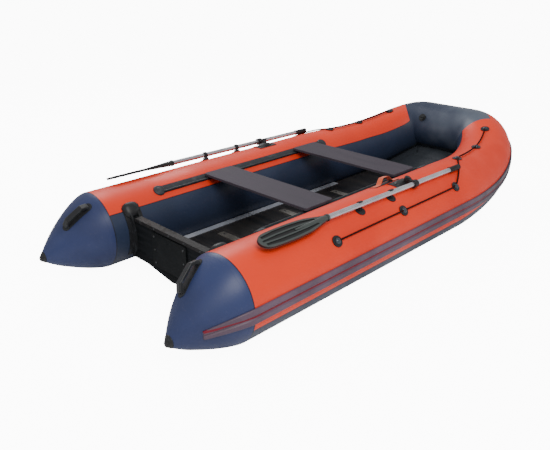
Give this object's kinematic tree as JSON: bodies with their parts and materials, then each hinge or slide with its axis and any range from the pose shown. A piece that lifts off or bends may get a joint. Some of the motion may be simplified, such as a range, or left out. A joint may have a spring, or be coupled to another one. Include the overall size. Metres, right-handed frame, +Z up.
{
  "type": "inflatable rowing boat",
  "caption": "Inflatable rowing boat with a plywood transom and floor, sliding benches, stowed oars that swing on their pins, rub strake and lifelines.",
  "frame": {"origin": "on the floor under the middle of the boat's overall length and width", "axes": "+X to the bow, +Y to port, +Z up"},
  "size_m": [3.2099, 1.4898, 0.552],
  "materials": {
    "tube_skin": "satin coated fabric, orange outside and navy inside",
    "cone_skin": "satin coated fabric, navy",
    "bottom_cloth": "matt coated fabric",
    "black_rubber": "moulded, matt",
    "strake_rubber": "extruded, satin",
    "dark_plywood": "film-faced, fine grain texture",
    "edging_plastic": "satin",
    "motor_plate_plastic": "textured",
    "grey_aluminium": "anodised, satin",
    "bright_aluminium": "extruded, bright",
    "track_rubber": "extruded, matt",
    "bench_wood": "painted plywood, satin",
    "black_plastic": "moulded, satin",
    "blade_plastic": "moulded, satin",
    "grip_rubber": "moulded, matt",
    "shaft_aluminium": "drawn tube, satin",
    "line_cord": "braided cord, dark red",
    "strap_webbing": "woven webbing, orange"
  },
  "bodies": {
    "hull": {"side_tube_port": "tube_skin", "side_tube_starboard": "tube_skin", "stern_cone_port": "cone_skin", "stern_cone_starboard": "cone_skin", "cone_cap_port": "black_rubber", "cone_cap_starboard": "black_rubber", "cone_handle_port": "black_rubber", "cone_handle_starboard": "black_rubber", "rub_strake_port": "strake_rubber", "rub_strake_starboard": "strake_rubber", "transom_holder_port": "black_rubber", "transom_holder_starboard": "black_rubber", "floor_stringer_port": "bright_aluminium", "floor_stringer_starboard": "bright_aluminium", "bench_track_port": "track_rubber", "bench_track_starboard": "track_rubber", "oarlock_base_port": "black_plastic", "oarlock_base_starboard": "black_plastic", "oar_clips_port": "black_plastic", "oar_clips_starboard": "black_plastic", "lifeline_port": "line_cord", "lifeline_starboard": "line_cord", "lifeline_cleats_port": "black_plastic", "lifeline_cleats_starboard": "black_plastic", "bow_tube": "tube_skin", "rub_strake_bow": "strake_rubber", "transom_board": "dark_plywood", "transom_edging": "edging_plastic", "motor_plate": "motor_plate_plastic", "floor_panel_1": "dark_plywood", "floor_panel_2": "dark_plywood", "floor_panel_3": "dark_plywood", "floor_panel_4": "dark_plywood", "floor_joiners": "grey_aluminium", "bottom_skin": "bottom_cloth", "bow_valve": "black_plastic", "strap_handle": "strap_webbing"},
    "aft_bench": {"aft_bench_board": "bench_wood", "aft_bench_runners": "black_plastic"},
    "fore_bench": {"fore_bench_board": "bench_wood", "fore_bench_runners": "black_plastic"},
    "oar_port": {"oar_shaft_port": "shaft_aluminium", "oar_blade_port": "blade_plastic", "oar_grip_port": "grip_rubber", "oar_collar_port": "black_plastic"},
    "oar_starboard": {"oar_shaft_starboard": "shaft_aluminium", "oar_blade_starboard": "blade_plastic", "oar_grip_starboard": "grip_rubber", "oar_collar_starboard": "black_plastic"}
  },
  "joints": [
    {"name": "aft_bench_slide", "type": "slide", "parent": "hull", "child": "aft_bench", "axis": [1, 0, 0], "range_m": [-0.28, 0.26]},
    {"name": "fore_bench_slide", "type": "slide", "parent": "hull", "child": "fore_bench", "axis": [1, 0, 0], "range_m": [-0.26, 0.04]},
    {"name": "oar_port_swing", "type": "hinge", "parent": "hull", "child": "oar_port", "pos_m": [0.023, 0.5689, 0.4468], "axis": [0, -0.3746, -0.9272], "range_deg": [0, 110]},
    {"name": "oar_starboard_swing", "type": "hinge", "parent": "hull", "child": "oar_starboard", "pos_m": [0.023, -0.5689, 0.4468], "axis": [0, -0.3746, 0.9272], "range_deg": [0, 110]}
  ]
}
